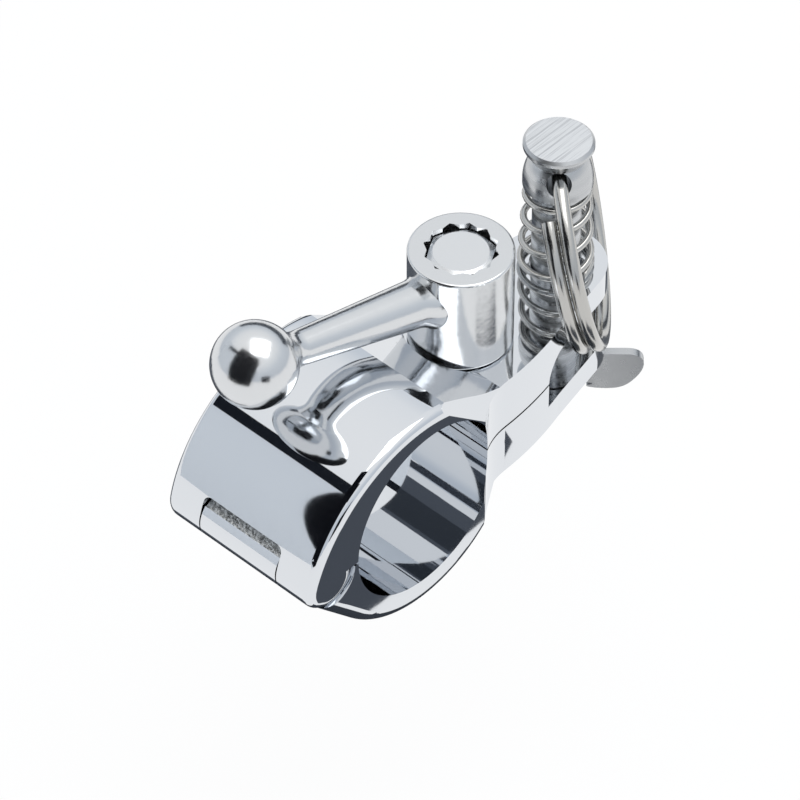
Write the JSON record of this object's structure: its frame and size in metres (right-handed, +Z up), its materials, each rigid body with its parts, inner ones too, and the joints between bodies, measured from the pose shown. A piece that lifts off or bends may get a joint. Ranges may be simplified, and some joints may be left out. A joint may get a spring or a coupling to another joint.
{
  "type": "pipe clamp",
  "caption": "Hinged split collar that clamps on a round rail, with a ball-ended clamping lever and a forked jaw closed by a sprung release pin on a split ring.",
  "frame": {"origin": "on the clamped rail's axis, in the middle of the collar's length", "axes": "+X along the rail, +Y from the rail towards the release pin, +Z up, towards the lever and the pin's head"},
  "size_m": [0.0252, 0.0723, 0.0465],
  "materials": {
    "polished_casting": "mirror-polished stainless steel casting",
    "polished_lever": "polished stainless steel casting with a slightly uneven surface",
    "turned_steel": "turned stainless steel, fine circular lay, brushed across the head",
    "wire_steel": "bright drawn stainless wire",
    "pressed_steel": "polished stainless pressing"
  },
  "bodies": {
    "bottom_jaw": {"bottom_jaw": "polished_casting", "hinge_pin": "turned_steel"},
    "top_jaw": {"top_jaw": "polished_casting"},
    "clamp_screw": {"clamp_screw": "turned_steel", "lever_spring": "wire_steel"},
    "lever": {"lever": "polished_lever"},
    "release_pin": {"release_pin": "turned_steel", "nose_rivet": "turned_steel", "pin_spring": "wire_steel"},
    "pin_nose": {"pin_nose": "pressed_steel"},
    "split_ring": {"split_ring": "wire_steel"}
  },
  "joints": [
    {"name": "jaw_hinge", "type": "hinge", "parent": "bottom_jaw", "child": "top_jaw", "pos_m": [0, -0.0172, -0.0002], "axis": [1, 0, 0], "range_deg": [-0.35, 0]},
    {"name": "lever_turn", "type": "hinge", "parent": "top_jaw", "child": "clamp_screw", "pos_m": [0, 0.01935, 0], "axis": [0, 0, 1], "range_deg": [-140, 105]},
    {"name": "lever_lift", "type": "slide", "parent": "clamp_screw", "child": "lever", "axis": [0, 0, 1], "range_m": [0, 0.0036], "stiffness_N_per_m": 1500, "springref_m": -0.003, "deforming": ["lever_spring"]},
    {"name": "pin_push", "type": "slide", "parent": "bottom_jaw", "child": "release_pin", "axis": [0, 0, -1], "range_m": [0, 0.001], "stiffness_N_per_m": 1200, "springref_m": -0.005, "deforming": ["pin_spring"]},
    {"name": "nose_swing", "type": "hinge", "parent": "release_pin", "child": "pin_nose", "pos_m": [0, 0.03735, -0.01125], "axis": [-0.682, 0.7314, 0], "range_deg": [0, 90]},
    {"name": "ring_swing", "type": "hinge", "parent": "release_pin", "child": "split_ring", "pos_m": [0, 0.03735, 0.0249], "axis": [0.682, -0.7314, 0], "range_deg": [0, 150]}
  ]
}
